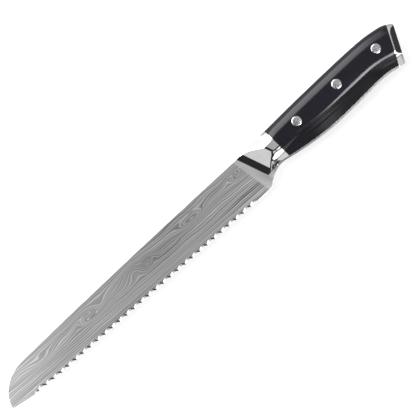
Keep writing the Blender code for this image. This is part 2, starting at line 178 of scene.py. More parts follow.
def spline(points):
    """A natural cubic spline y(x), for arrays too, through a few points given in millimetres."""
    xs, ys = (np.array(values) * MM for values in zip(*points))
    steps = np.diff(xs)
    slopes = np.diff(ys) / steps
    system = np.eye(len(xs))
    right = np.zeros(len(xs))
    for i in range(1, len(xs) - 1):
        system[i, i - 1:i + 2] = steps[i - 1], 2 * (steps[i - 1] + steps[i]), steps[i]
        right[i] = 6 * (slopes[i] - slopes[i - 1])
    bends = np.linalg.solve(system, right)

    def value(x):
        i = np.clip(np.searchsorted(xs, x) - 1, 0, len(steps) - 1)
        step = steps[i]
        a, b = xs[i + 1] - x, x - xs[i]
        curve = (bends[i] * a ** 3 + bends[i + 1] * b ** 3) / (6 * step)
        return (curve + (ys[i] / step - bends[i] * step / 6) * a
                + (ys[i + 1] / step - bends[i + 1] * step / 6) * b)
    return value


handle_top = spline([(203.6, 28.2), (208.6, 29.0), (217.7, 29.6), (226.8, 30.05), (245.2, 31.2),
                     (263.6, 32.15), (281.9, 32.9), (301.5, 33.38), (312.5, 33.05), (318.7, 32.3),
                     (324.8, 30.9), (330.0, 28.0)])
handle_belly = spline([(209.1, 1.71), (213.3, 5.1), (218.0, 7.35), (222.5, 8.35), (228.0, 7.85),
                       (236.0, 6.5), (246.0, 5.25), (261.0, 4.4), (280.0, 5.0), (294.2, 6.0),
                       (303.0, 6.45), (311.0, 5.85), (317.5, 4.85), (322.0, 4.6)])
tip_edge = spline([(0.0, 3.55), (6.5, 2.6), (13.2, 1.75), (19.3, 0.98), (24.8, 0.5), (31.0, 0.14),
                   (37.0, 0.0)])
heel_edge = spline([(185.0, 0.0), (191.0, 0.25), (196.2, 0.65), (202.0, 0.93), (206.5, 1.12),
                    (208.2, 1.3), (209.1, 1.71)])
blade_spine = spline([(0.0, 20.74), (26.0, 22.05), (61.5, 23.7), (122.7, 26.0), (184.0, 27.76),
                      (203.6, 28.2)])
facet_rise = spline([(209.0, 5.0), (213.0, 3.5), (217.6, 2.6), (220.0, 2.6), (222.5, 2.95),
                     (228.5, 3.8), (233.0, 4.5), (245.0, 5.3), (262.0, 5.8), (298.0, 5.3),
                     (322.0, 4.6)])
ridge_rise = spline([(210.0, 7.6), (213.0, 9.2), (216.0, 10.1), (219.0, 9.1), (221.0, 7.9),
                     (223.0, 7.1), (226.0, 7.2), (230.0, 8.1), (235.0, 9.2), (246.0, 10.2),
                     (262.0, 10.1), (280.0, 9.8), (300.0, 8.9), (311.0, 8.2),
                     (322.0, 7.6)])
facet_half = spline([(213.0, 1.65), (219.0, 2.0), (222.5, 2.6), (228.5, 3.6), (235.0, 4.5),
                     (245.0, 5.4), (262.0, 5.9), (300.0, 5.9), (322.0, 5.6)])


def tooth_line(x):
    """The line of the tooth tips: straight, rising at the tip and at the heel."""
    if x < LEVEL_START:
        return float(tip_edge(x))
    return float(heel_edge(x)) if x > LEVEL_END else 0.0


def spine_height(x):
    """The blade's spine, curved down to the tip over the nose."""
    height = float(blade_spine(x))
    if x >= NOSE_LENGTH:
        return height
    drop = float(blade_spine(0.0)) - TIP_HEIGHT
    return height - drop * (1 - (1 - (1 - x / NOSE_LENGTH) ** NOSE_FULL) ** NOSE_BLUNT)


def blade_half(x, y):
    """Half the blade's thickness: a flat grind that thins to the edge and to the tip."""
    return TANG_HALF - TAPER_Y * (BLADE_BACK - y) - TAPER_X * (BLADE_END - x)


def meet(x_at_zero, lean, outline):
    """The x where a leaning plane meets an outline."""
    x = x_at_zero
    for _ in range(MEET_ROUNDS):
        x += 0.5 * (x_at_zero + lean * float(outline(x)) - x)
    return x


def meet_both(x_at_zero, lean):
    """The x where a leaning plane meets the handle's belly, and its back."""
    return meet(x_at_zero, lean, handle_belly), meet(x_at_zero, lean, handle_top)


def soft_min(a, b, reach):
    """The lower of two heights, rounded over where they are within reach of each other."""
    near = np.clip(1 - np.abs(a - b) / reach, 0, 1)
    return np.minimum(a, b) - near ** 2 * reach / 4


# ---------------------------------------------------------------- meshes

def make_object(name, points, faces, sharp=SHARP):
    """An object at ORIGIN, smooth shaded with sharp edges above an angle in degrees."""
    mesh = bpy.data.meshes.new(name)
    mesh.from_pydata([tuple(map(float, point)) for point in points], [], faces)
    mesh.validate()
    mesh.update()
    mesh.shade_smooth()
    mesh.set_sharp_from_angle(angle=math.radians(sharp))
    obj = bpy.data.objects.new(name, mesh)
    obj.location = ORIGIN
    bpy.context.scene.collection.objects.link(obj)
    return obj


def loft(name, rings, sharp=SHARP, flip=False):
    """A closed body through rings of points, with flat ends."""
    rings = np.asarray(rings, float)
    rows, count = rings.shape[:2]
    faces = []
    for row in range(rows - 1):
        for i in range(count):
            j = (i + 1) % count
            a, b = row * count, (row + 1) * count
            faces.append((a + i, a + j, b + j, b + i))
    faces.append(tuple(range(count))[::-1])
    faces.append(tuple(range((rows - 1) * count, rows * count)))
    if flip:
        faces = [face[::-1] for face in faces]
    return make_object(name, rings.reshape(-1, 3), faces, sharp)


def turned(name, profile, centre, flip=False):
    """A closed body turned about a line along Z, from a profile whose ends lie on the axis."""
    x, y = centre
    points = [(x, y, profile[0][1]), (x, y, profile[-1][1])]
    for radius, z in profile[1:-1]:
        for i in range(ROUND_SEGMENTS):
            angle = math.tau * i / ROUND_SEGMENTS
            points.append((x + radius * math.cos(angle), y + radius * math.sin(angle), z))
    faces = []
    last = 2 + (len(profile) - 3) * ROUND_SEGMENTS
    for i in range(ROUND_SEGMENTS):
        j = (i + 1) % ROUND_SEGMENTS
        faces.append((0, 2 + i, 2 + j))
        faces.append((1, last + j, last + i))
        for row in range(len(profile) - 3):
            a, b = 2 + row * ROUND_SEGMENTS, 2 + (row + 1) * ROUND_SEGMENTS
            faces.append((a + j, a + i, b + i, b + j))
    if flip:
        faces = [face[::-1] for face in faces]
    return make_object(name, points, faces)


def cut(obj, cutters, sharp=SHARP):
    """Take the cutters' volumes away from an object for good, and shade its sharp edges again."""
    for cutter in cutters:
        boolean = obj.modifiers.new(cutter.name, "BOOLEAN")
        boolean.solver = "EXACT"
        boolean.object = cutter
    bpy.context.view_layer.update()
    evaluated = obj.evaluated_get(bpy.context.evaluated_depsgraph_get())
    mesh = bpy.data.meshes.new_from_object(evaluated)
    obj.modifiers.clear()
    obj.data = mesh
    mesh.set_sharp_from_angle(angle=math.radians(sharp))
    for cutter in cutters:
        bpy.data.objects.remove(cutter)


# ---------------------------------------------------------------- blade and tang

def rounded_foot(x, y, half, lean, reach):
    """The lower right-angled corner of the left side, rounded: points from the edge up the side."""
    points = []
    for i in range(FOOT_STEPS + 1):
        angle = math.pi / 2 * i / FOOT_STEPS
        rise = reach * (1 - math.cos(angle))
        points.append((x + lean * rise, y + rise, half - reach * (1 - math.sin(angle))))
    return points


def blank_column(low, high, bevel, half_low, half_high, sharp, ground=1.0):
    """One closed column of the blank: its foot, left side and spine, and then the right side.

    sharp is 1 at a cutting edge and 0 where the foot is square. ground is how much of the thickness
    the facet of a cutting edge takes away.
    """
    (x_low, y_low), (x_high, y_high) = low, high
    lean = (x_high - x_low) / (y_high - y_low)
    rise_half = (half_high - half_low) / (y_high - y_low)
    edge = half_low - ground * (2 * half_low - EDGE_LAND)
    blunt = rounded_foot(x_low, y_low, half_low, lean, min(TANG_ROUND, half_low * TANG_LIMIT))
    side = half_low + rise_half * bevel
    front = []
    for i in range(FOOT_STEPS + 1):
        part = i / FOOT_STEPS
        rise = bevel * part
        hollow = BEVEL_HOLLOW * 4 * part * (1 - part) * min(1.0, bevel / SCALLOP_BEVEL)
        facet = (x_low + lean * rise, y_low + rise, edge + (side - edge) * part - hollow)
        front.append(tuple(f * sharp + b * (1 - sharp) for f, b in zip(facet, blunt[i])))
    foot_top = front[-1][1]
    top_round = min(SPINE_ROUND, SPINE_LIMIT * (y_high - foot_top))
    for i in range(1, SIDE_STEPS):
        y = foot_top + (y_high - top_round - foot_top) * i / SIDE_STEPS
        front.append((x_low + lean * (y - y_low), y, half_low + rise_half * (y - y_low)))
    for i in range(SPINE_STEPS + 1):
        angle = math.pi / 2 * i / SPINE_STEPS
        y = y_high - top_round * (1 - math.sin(angle))
        half = half_low + rise_half * (y - y_low) - top_round * (1 - math.cos(angle))
        front.append((x_low + lean * (y - y_low), y, half))
    back = [(x, y, -z) for x, y, z in front[:-SPINE_STEPS - 2:-1]]
    for x, y, z in blunt[::-1]:
        flat = (x_low + lean * (y - y_low), y, -(half_low + rise_half * (y - y_low)))
        back.append(tuple(f * sharp + b * (1 - sharp) for f, b in zip(flat, (x, y, -z))))
    return front + back


def straight_column(x, y_low, bevel, ground):
    """A sharp column of the blade at one x."""
    y_high = spine_height(x)
    halves = blade_half(x, y_low), blade_half(x, y_high)
    return blank_column((x, y_low), (x, y_high), bevel, *halves, 1.0, ground)


def scallop_depth(x, start, end):
    """How deep a wheel that leaves both ends standing cuts at x."""
    half = (end - start) / 2
    across = x - (start + end) / 2
    return (math.sqrt(WHEEL_RADIUS ** 2 - min(across ** 2, half ** 2))
            - math.sqrt(WHEEL_RADIUS ** 2 - half ** 2))


def blade_columns():
    """The blade's columns from the tip to the end of the last scallop."""
    columns = []
    for i in range(NOSE_STEPS):
        x = SCALLOP_START * (i / NOSE_STEPS) ** 2
        bevel = min(PLAIN_BEVEL, BEVEL_LIMIT * (spine_height(x) - tooth_line(x)))
        columns.append(straight_column(x, tooth_line(x), bevel, TIP_GROUND))
    ends = [SCALLOP_START] + [FIRST_TOOTH + i * PITCH for i in range(TEETH)] + [SCALLOP_END]
    for start, end in zip(ends[:-1], ends[1:]):
        for i in range(SCALLOP_STEPS):
            x = start + (end - start) * i / SCALLOP_STEPS
            growth = min(1.0, (x - SCALLOP_START) / SCALLOP_GROWTH, (SCALLOP_END - x) / SCALLOP_GROWTH)
            plain = PLAIN_BEVEL if x < HEEL_SIDE else HEEL_BEVEL
            bevel = plain + (SCALLOP_BEVEL - plain) * growth
            ground = TIP_GROUND + (1 - TIP_GROUND) * growth
            foot = tooth_line(x) + scallop_depth(x, start, end)
            columns.append(straight_column(x, foot, bevel, ground))
    return columns


def fan(start, end, steps, belly, back, first=0):
    """Feet and heads of columns that fan from one leaning line to another, and how far each is."""
    pairs = []
    for i in range(first, steps + 1):
        x_low, x_high = (a + (b - a) * i / steps for a, b in zip(start, end))
        pairs.append(((x_low, float(belly(x_low))), (x_high, float(back(x_high))), i / steps))
    return pairs


def heel_columns():
    """The plain heel, and the ramp up to the full thickness where the bolster starts."""
    heel = (HEEL_X, HEEL_X + BOLSTER_LEAN * HEEL_HEIGHT)
    front = meet_both(BOLSTER_X, BOLSTER_LEAN)
    columns = []
    for low, high, _ in fan((SCALLOP_END, SCALLOP_END), heel, HEEL_STEPS, tooth_line, spine_height):
        halves = blade_half(*low), blade_half(*high)
        columns.append(blank_column(low, high, HEEL_BEVEL, *halves, 1.0, TIP_GROUND))
    for low, high, part in fan(heel, front, RAMP_STEPS, handle_belly, spine_height, 1):
        ramp = part ** RAMP_POWER
        halves = [blade_half(*point) * (1 - ramp) + TANG_HALF * ramp for point in (low, high)]
        sharp = max(0.0, 1 - BLUNTING * part)
        columns.append(blank_column(low, high, HEEL_BEVEL, *halves, sharp, TIP_GROUND))
    return columns


def tang_columns():
    """The tang, from the bolster's front to the end cap, and the tab on its end."""
    front, end = meet_both(BOLSTER_X, BOLSTER_LEAN), meet_both(CAP_X - SEAM, CAP_LEAN)
    columns = []
    for low, high, _ in fan(front, end, TANG_STEPS, handle_belly, handle_top, 1):
        columns.append(blank_column(low, high, HEEL_BEVEL, TANG_HALF, TANG_HALF, 0.0))
    for reach in (-SEAM, TAB_LENGTH):
        low, high = ((CAP_X + CAP_LEAN * y + reach, y) for y in (TAB_LOW, TAB_HIGH))
        columns.append(blank_column(low, high, HEEL_BEVEL, TAB_HALF, TAB_HALF, 0.0))
    return columns


def is_ground(face):
    """Whether a face of the blank is part of a facet: facing left, low, and below the blade's side."""
    x, y, z = face.center
    below = z < blade_half(x, y) - FACET_DEPTH
    return below and face.normal.z > FACET_FACING and x < HEEL_X and y < FACET_TOP


def make_blade():
    """The blank: blade, heel and tang, with the ground facets on their own material slot."""
    columns = blade_columns() + heel_columns() + tang_columns()
    blade = loft("blade_and_tang", columns, BLADE_SHARP, flip=True)
    for face in blade.data.polygons:
        face.material_index = int(is_ground(face))
    reach = TANG_HALF + CUTTER_REACH
    profile = [(0, reach), (HOLE_RADIUS, reach), (HOLE_RADIUS, -reach), (0, -reach)]
    cut(blade, [turned("hole_" + name, profile, centre) for name, centre in RIVETS.items()], BLADE_SHARP)
    return blade


# ---------------------------------------------------------------- handle section

def corner(a, a_way, b, b_way, steps):
    """Points between a and b on a curve that leaves a along a_way and reaches b along b_way.

    The curve's knee is where the two ways cross, or halfway along where they are nearly in line.
    """
    cross = a_way[..., 0] * b_way[..., 1] - a_way[..., 1] * b_way[..., 0]
    gap = b - a
    step, size = (np.linalg.norm(way, axis=-1) for way in (a_way, gap))
    bent = np.abs(cross) > IN_LINE * step * np.linalg.norm(b_way, axis=-1)
    run = (gap[..., 0] * b_way[..., 1] - gap[..., 1] * b_way[..., 0]) / np.where(bent, cross, 1.0)
    run = np.clip(np.where(bent, run, 0.5 * size / step), 0, size / step)
    knee = a + a_way * run[..., None]
    parts = np.arange(1, steps) / steps
    return [a * (1 - t) ** 2 + knee * 2 * t * (1 - t) + b * t ** 2 for t in parts]


def line(a, b, steps):
    """Points from a, included, towards b, left out."""
    return [a + (b - a) * i / steps for i in range(steps)]


def point(y, z):
    """A (y, z) point for every x."""
    y, z = np.broadcast_arrays(y, z)
    return np.stack([y, z], -1).astype(float)


def foot_lift(x):
    """How much further the bolster's foot stands above the belly towards its front."""
    return FOOT_LIFT * np.clip((LIFT_START - x) / LIFT_RUN, 0, LIFT_LIMIT) ** LIFT_POWER


def round_half(x, rise):
    """Half the thickness in the round under the back: an ellipse, or a slope near the bolster's front."""
    oval = np.clip((x - SLOPE_END) / (OVAL_START - SLOPE_END), 0, 1)
    oval = oval * oval * (3 - 2 * oval)
    power = SLOPE_POWER + (OVAL_POWER - SLOPE_POWER) * oval
    part = (1 - rise ** power) ** (1 / (1 + oval))
    return TOP_HALF + (HANDLE_HALF - TOP_HALF) * part


def section(x, foot):
    """The left half of the handle's section at each x, from the foot up to the back."""
    belly, back = handle_belly(x), handle_top(x)
    inside = TANG_HALF + SEAM
    low, high = point(belly + facet_rise(x), facet_half(x)), point(belly + ridge_rise(x), HANDLE_HALF)
    span = high - low

    def flute(part):
        height = (1 - FLUTE_HOLLOW) * part + FLUTE_HOLLOW * part ** 2
        return low + span * np.stack([part, height], -1)

    def flute_way(part):
        slope = (1 - FLUTE_HOLLOW) + 2 * FLUTE_HOLLOW * part
        return span * np.stack([np.ones_like(part), slope], -1)

    foot = foot + foot_lift(x)
    heel = point(belly + foot, inside + FOOT_EDGE)
    under = low - heel
    length = np.linalg.norm(under, axis=-1)
    broad = np.clip((BROAD_END - x) / BROAD_FADE, 0, 1)
    rear = np.clip((x - REAR_START) / REAR_FADE, 0, 1)
    crease = np.minimum(CREASE + (REAR_CREASE - CREASE) * rear, CREASE_LIMIT * length)
    crest = CREST + (BOLSTER_CREST - CREST) * broad
    upper = crest + (REAR_CREST - CREST) * rear
    limit = CREST_LIMIT + (BOLSTER_CREST_LIMIT - CREST_LIMIT) * broad
    crest = np.minimum(crest, limit * span[..., 0])
    under_end = low - under * (crease / length)[..., None]
    flute_start, flute_end = crease / span[..., 0], 1 - crest / span[..., 0]
    side_start = high + point(upper, 0 * upper)
    side_end = point(back - ROUND_HEIGHT, HANDLE_HALF)
    level = point(np.ones_like(x), np.zeros_like(x))
    points = [point(belly + foot, inside)]
    points += line(heel, under_end, UNDER_STEPS) + [under_end]
    points += corner(under_end, under, flute(flute_start), flute_way(flute_start), CREASE_STEPS)
    for i in range(FLUTE_STEPS + 1):
        points.append(flute(flute_start + (flute_end - flute_start) * i / FLUTE_STEPS))
    points += corner(flute(flute_end), flute_way(flute_end), side_start, level, CREST_STEPS)
    points += line(side_start, side_end, FLAT_STEPS)
    for i in range(BACK_STEPS + 1):
        rise = min(1.0, math.sin(math.pi / 2 * i / BACK_STEPS))
        points.append(point(back - ROUND_HEIGHT * (1 - rise), round_half(x, rise)))
    points.append(point(back, inside))
    return np.stack(points, -2)


def body_rings(front, rear, foot, steps):
    """Rings of a stretch of the handle's left half between two leaning planes (x at y = 0, lean)."""
    count = section(np.array([SCALE_X]), foot).shape[-2]
    ends = []
    for x_at_zero, lean in (front, rear):
        x = np.full(count, x_at_zero + lean * MIDDLE_HEIGHT)
        for _ in range(RING_ROUNDS):
            heights = section(x, foot)[np.arange(count), np.arange(count), 0]
            x = x + 0.5 * (x_at_zero + lean * heights - x)
        ends.append(x)
    rings = np.zeros((steps + 1, count, 3))
    for step in range(steps + 1):
        x = ends[0] + (ends[1] - ends[0]) * step / steps
        rings[step, :, 0] = x
        rings[step, :, 1:] = section(x, foot)[np.arange(count), np.arange(count)]
    return rings


def hollowed(rings):
    """Rings lowered onto the wheel's hollow, which starts level on the blade at the leaning front.

    The wheel's curve goes on as a straight slope where it is steepest. Outside the hollow's edge the
    surface first slopes gently into it, and the edge itself is polished over.
    """
    inside = TANG_HALF + SEAM
    across = 1 / math.hypot(1, BOLSTER_LEAN)
    behind = np.clip((rings[..., 0] - BOLSTER_X - BOLSTER_LEAN * rings[..., 1]) * across, 0, None)
    reach = np.minimum(behind, HOLLOW_RADIUS * math.sin(HOLLOW_STEEPEST))
    wheel = inside + BOLSTER_LIP + HOLLOW_RADIUS - np.sqrt(HOLLOW_RADIUS ** 2 - reach ** 2)
    wheel = wheel + (behind - reach) * math.tan(HOLLOW_STEEPEST)
    edge = np.minimum(HOLLOW_EDGE, wheel - inside)
    outside = np.clip((wheel - rings[..., 2]) / BROW_RISE, 0, None)
    brow = rings[..., 2] - BROW_SLOPE * np.clip(BROW_WIDTH - outside, 0, None)
    lowered = soft_min(brow, wheel, edge)
    above = rings[..., 2] > inside + 1e-7
    result = rings.copy()
    result[..., 2] = np.where(above, np.maximum(lowered, inside + BOLSTER_LIP / 2), rings[..., 2])
    return result


def sides(name, rings, sharp=SHARP):
    """The left and right bodies of one set of rings."""
    left = loft(name + "_left_body", rings, sharp, flip=True)
    right = loft(name + "_right_body", rings * np.array([1, 1, -1]), sharp)
    return left, right


def make_bolsters():
    """The two bolster halves, ground hollow towards the blade."""
    front, rear = (BOLSTER_X, BOLSTER_LEAN), (SCALE_X - SEAM / 2, SCALE_LEAN)
    rings = body_rings(front, rear, TANG_PROUD, BOLSTER_RINGS)
    return sides("bolster", hollowed(rings), BOLSTER_SHARP)


def make_scales():
    """The two handle scales, with a stepped hole for each rivet."""
    front, rear = (SCALE_X + SEAM / 2, SCALE_LEAN), (CAP_X - SEAM / 2, CAP_LEAN)
    scales = sides("scale", body_rings(front, rear, TANG_PROUD, SCALE_RINGS))
    top, step = HANDLE_HALF + CUTTER_REACH, HANDLE_HALF - HEAD_HEIGHT - PLAY
    stepped = [(0, top), (COUNTERBORE_RADIUS, top), (COUNTERBORE_RADIUS, step), (HOLE_RADIUS, step),
               (HOLE_RADIUS, 0), (0, 0)]
    for side, scale in zip((1, -1), scales):
        profile = [(radius, side * z) for radius, z in stepped]
        cut(scale, [turned("hole_" + name, profile, centre, flip=side < 0)
                    for name, centre in RIVETS.items()])
    return scales


def make_cap():
    """The end cap, with a sloping flat on each side of the butt and a pocket for the tang's tab."""
    left = body_rings((CAP_X + SEAM / 2, CAP_LEAN), (BUTT_X, BUTT_LEAN), 0.0, CAP_RINGS)
    across = 1 / math.hypot(1, BUTT_LEAN)
    before = np.clip((BUTT_X + BUTT_LEAN * left[..., 1] - left[..., 0]) * across, 0, None)
    flat = BUTT_HALF + before * math.tan(BUTT_SLOPE)
    left[..., 2] = soft_min(left[..., 2], flat, BUTT_EDGE)
    right = left * np.array([1, 1, -1])
    cap = loft("end_cap_body", np.concatenate([left[:, 1:-1], right[:, -2:0:-1]], axis=1), flip=True)
    half = TAB_HALF + PLAY
    pocket = []
    for reach in (-CUTTER_REACH, TAB_LENGTH + PLAY):
        low, high = ((CAP_X + CAP_LEAN * y + reach, y) for y in (TAB_LOW - PLAY, TAB_HIGH + PLAY))
        pocket.append([(*low, -half), (*low, half), (*high, half), (*high, -half)])
    cut(cap, [loft("pocket", pocket, flip=True)])
    return cap


def make_rivets():
    """Three cutler's rivets, each a pin with a head on the left and a barrel with one on the right."""
    under = HANDLE_HALF - HEAD_HEIGHT
    crown = HANDLE_HALF + HEAD_PROUD
    head = [(0, crown)]
    for i in range(1, CROWN_STEPS + 1):
        part = i / CROWN_STEPS
        head.append((HEAD_RADIUS * HEAD_FLAT * part, crown - CROWN_DROP * part ** 2))
    rim = HEAD_RADIUS * (1 - HEAD_FLAT)
    for i in range(1, RIM_STEPS + 1):
        angle = math.pi / 2 * i / RIM_STEPS
        head.append((HEAD_RADIUS - rim * (1 - math.sin(angle)),
                     crown - CROWN_DROP - RIM_DROP * (1 - math.cos(angle))))
    head.append((HEAD_RADIUS, under))
    pin = head + [(PIN_RADIUS, under), (PIN_RADIUS, -PIN_REACH), (0, -PIN_REACH)]
    barrel = head + [(BARREL_RADIUS, under), (BARREL_RADIUS, -BARREL_REACH),
                     (BORE_RADIUS, -BARREL_REACH), (BORE_RADIUS, BORE_REACH), (0, BORE_REACH)]
    barrel = [(radius, -z) for radius, z in barrel]
    rivets = {}
    for name, centre in RIVETS.items():
        rivet = "rivet_" + name
        rivets[rivet + "_pin"] = turned(rivet + "_pin_body", pin, centre)
        rivets[rivet + "_barrel"] = turned(rivet + "_barrel_body", barrel, centre, flip=True)
    return rivets


# ---------------------------------------------------------------- materials

class Shader:
    """A small builder for one node tree, so that a material reads as a few sums."""

    def __init__(self, tree):
        self.tree = tree

    def node(self, kind, inputs=(), output=0, **settings):
        """A node with its settings and inputs; returns one of its outputs."""
        node = self.tree.nodes.new(kind)
        for key, value in settings.items():
            setattr(node, key, value)
        for key, value in dict(inputs).items():
            if isinstance(value, bpy.types.NodeSocket):
                self.tree.links.new(value, node.inputs[key])
            else:
                node.inputs[key].default_value = value
        return node.outputs[output]

    def math(self, operation, a, b=0.0):
        """One step of arithmetic."""
        return self.node("ShaderNodeMath", {0: a, 1: b}, operation=operation)

    def add(self, a, b):
        """A sum."""
        return self.math("ADD", a, b)

    def times(self, a, b):
        """A product."""
        return self.math("MULTIPLY", a, b)

    def around(self, value, middle, strength):
        """A value's distance above or below a middle, times a strength."""
        return self.times(self.add(value, -middle), strength)

    def between(self, value, low, high, to_low=0.0, to_high=1.0):
        """A value mapped smoothly from one range to another, held at the ends."""
        inputs = {0: value, 1: low, 2: high, 3: to_low, 4: to_high}
        return self.node("ShaderNodeMapRange", inputs, interpolation_type="SMOOTHSTEP")

    def joined(self, x, y, z=0.0):
        """A vector of three values."""
        return self.node("ShaderNodeCombineXYZ", {0: x, 1: y, 2: z})

    def split(self, vector):
        """A vector's three values."""
        return self.node("ShaderNodeSeparateXYZ", {0: vector}).node.outputs

    def scaled(self, vector, scale, offset=(0, 0, 0)):
        """A position stretched along each axis."""
        return self.node("ShaderNodeMapping", {"Vector": vector, "Scale": scale, "Location": offset})

    def noise(self, vector, scale=1.0, detail=2.0, roughness=0.5):
        """Smooth noise from 0 to 1."""
        return self.node("ShaderNodeTexNoise", {"Vector": vector, "Scale": scale, "Detail": detail,
                                                "Roughness": roughness})

    def grey(self, value, blue=1.0):
        """A grey, with its blue a little stronger where that is over 1."""
        blue_value = value if blue == 1.0 else self.times(value, blue)
        return self.node("ShaderNodeCombineColor", {0: value, 1: value, 2: blue_value})

    def colour(self, value, *stops):
        """Greys or colours along a value: each stop is a position and a colour."""
        out = self.node("ShaderNodeValToRGB", {0: value})
        ramp = out.node.color_ramp
        for i, (position, tint) in enumerate(stops):
            element = ramp.elements[i] if i < 2 else ramp.elements.new(position)
            element.position = position
            rgb = tint if isinstance(tint, tuple) else (tint, tint, tint)
            element.color = (*rgb, 1.0)
        return out

    def bump(self, height, strength, distance, normal=None):
        """A bumped normal."""
        inputs = {"Height": height, "Strength": strength, "Distance": distance}
        if normal is not None:
            inputs["Normal"] = normal
        return self.node("ShaderNodeBump", inputs)


def new_material(name, metallic, specular=0.5):
    """A plain material, with a builder for it, its shader node and the position on the knife."""
    material = bpy.data.materials.new(name)
    material.use_nodes = True
    build = Shader(material.node_tree)
    surface = material.node_tree.nodes["Principled BSDF"]
    surface.inputs["Metallic"].default_value = metallic
    surface.inputs["Specular IOR Level"].default_value = specular
    return material, build, surface, build.node("ShaderNodeTexCoord", output="Object")


def connect(build, surface, **sockets):
    """Link values to the shader's sockets by name, with _ for a space."""
    for name, value in sockets.items():
        build.tree.links.new(value, surface.inputs[name.replace("_", " ")])


# The blade's etched pattern, in millimetres. It ends where x + ETCH_LEAN * y is ETCH_END
ETCH_END, ETCH_LEAN, ETCH_FADE = 207.65, 0.226, 2.2
STRIPE_PERIOD = 1.25
ETCH_CONTRAST, HEEL_CONTRAST = 0.62, 0.4        # the second is how much stronger the lines are at the heel
# The middle value lightens the steel low on the blade just before the heel: painted light
PLAIN_LIGHT, HEEL_PAINTED_LIGHT, GRAIN_LIGHT = 0.42, 0.04, 0.16

# Knots of the pattern: where, how long and how high, how far they lift the lines, and how many radians
# they turn them
KNOTS = [
    ((72.0, 15.8), 9.0, 3.4, 0.6, 3.3),
    ((112.5, 18.5), 8.0, 4.5, -4.5, 0.0),
    ((120.5, 17.6), 5.0, 3.2, 0.0, -2.6),
    ((158.0, 18.8), 11.0, 2.7, 6.2, 0.0),
    ((196.0, 21.6), 6.0, 2.4, 0.5, 2.8),
    ((34.0, 14.5), 10.0, 3.0, 2.6, 0.0),
]


def flow_height(build, x, y):
    """The height that the blade's etched lines follow, in millimetres: level, with waves and knots."""
    across = build.between(y, 4.0, 16.0)
    flat = build.joined(x, y)
    broad = build.noise(build.scaled(flat, (0.026, 0.085, 1)), detail=1.0)
    fine = build.noise(build.scaled(flat, (0.075, 0.16, 1), (7.0, 3.0, 0)), detail=1.5)
    height = build.add(y, build.times(build.around(broad, 0.5, 5.5), across))
    height = build.add(height, build.around(fine, 0.5, build.between(y, 2.0, 15.0, 0.8, 2.2)))
    for (x_knot, y_knot), long, high, lift, turn in KNOTS:
        dx = build.around(x, x_knot, 1 / long)
        dy = build.around(y, y_knot, 1 / high)
        far = build.add(build.times(dx, dx), build.times(dy, dy))
        near = build.math("EXPONENT", build.times(far, -1.0))
        height = build.add(height, build.times(near, lift))
        if turn:
            angle = build.times(near, turn)
            turned_dy = build.add(build.times(dy, build.math("COSINE", angle)),
                                  build.times(dx, build.math("SINE", angle)))
            moved = build.add(turned_dy, build.times(dy, -1.0))
            height = build.add(height, build.times(moved, high))
    return height


def etched_steel():
    """Satin steel, etched in thin wavy lines that fade out before the bolster, with painted light and
    shade: lighter towards the tip, darker towards the heel and on the tang.
    """
    material, build, surface, place = new_material("etched_steel", 1.0)
    x, y = (build.times(value, 1 / MM) for value in build.split(place)[:2])
    height = flow_height(build, x, y)
    flow = build.joined(build.times(x, 0.012), height)
    bands = build.noise(build.scaled(flow, (1, 0.42, 1)), detail=2.5, roughness=0.55)
    threads = build.noise(build.scaled(flow, (1.5, 0.95, 1), (3.0, 9.0, 0)), detail=1.0)
    phase = build.add(build.times(height, math.tau / STRIPE_PERIOD), build.times(bands, 9.0))
    bright = build.between(build.math("SINE", phase), 0.1, 1.0)
    lines = build.add(build.around(bands, 0.5, 1.6), build.around(threads, 0.5, 1.5))
    lines = build.add(lines, build.around(bright, 0.35, 1.1))
    edge = build.add(build.add(x, build.times(y, ETCH_LEAN)), -ETCH_END)
    # The lines stand out most low on the blade, just before the heel
    at_heel = build.times(build.between(edge, -30.0, -12.0), build.between(y, 19.0, 12.0))
    patterned = build.between(edge, -ETCH_FADE, 0.0, 1.0, 0.0)
    contrast = build.times(patterned, build.add(build.times(at_heel, HEEL_CONTRAST), 1.0))
    lines = build.times(lines, contrast)
    grain = build.noise(build.scaled(place, (90, 5200, 5200)), detail=3.0, roughness=0.65)
    along = build.times(x, MM / (CAD_HIGH.x - CAD_LOW.x))
    # Painted light and shade: the steel is painted lighter towards the tip, darker towards the heel, and
    # darkest on the tang where it shows between the scales
    tone = build.colour(along, (0.0, 0.51), (0.064, 0.45), (0.14, 0.36), (0.242, 0.31),
                        (0.369, 0.252), (0.636, 0.200), (0.66, 0.09))
    shade = build.add(build.times(lines, ETCH_CONTRAST), build.around(grain, 0.5, GRAIN_LIGHT))
    # Painted light: the steel is a little lighter low on the blade just before the heel
    shade = build.add(shade, build.times(build.times(at_heel, patterned), HEEL_PAINTED_LIGHT))
    shade = build.add(shade, build.between(patterned, 0.0, 1.0, PLAIN_LIGHT, 0.0))
    tint = build.grey(build.times(tone, build.add(shade, 1.0)), 1.004)
    rough = build.add(build.between(lines, -0.8, 0.8, 0.40, 0.32), build.times(grain, 0.06))
    normal = build.bump(grain, 0.05, 0.02 * MM)
    normal = build.bump(lines, 0.08, 0.02 * MM, normal)
    connect(build, surface, Base_Color=tint, Roughness=rough, Normal=normal)
    return material


def ground_steel():
    """Freshly ground steel on the serration's facets, with grind lines up the facet."""
    material, build, surface, place = new_material("ground_steel", 1.0)
    grain = build.noise(build.scaled(place, (4200, 260, 260)), detail=3.0, roughness=0.6)
    tint = build.grey(build.between(grain, 0.25, 0.75, 0.62, 0.80))
    rough = build.between(grain, 0.2, 0.8, 0.16, 0.26)
    connect(build, surface, Base_Color=tint, Roughness=rough, Normal=build.bump(grain, 0.06, 0.02 * MM))
    return material


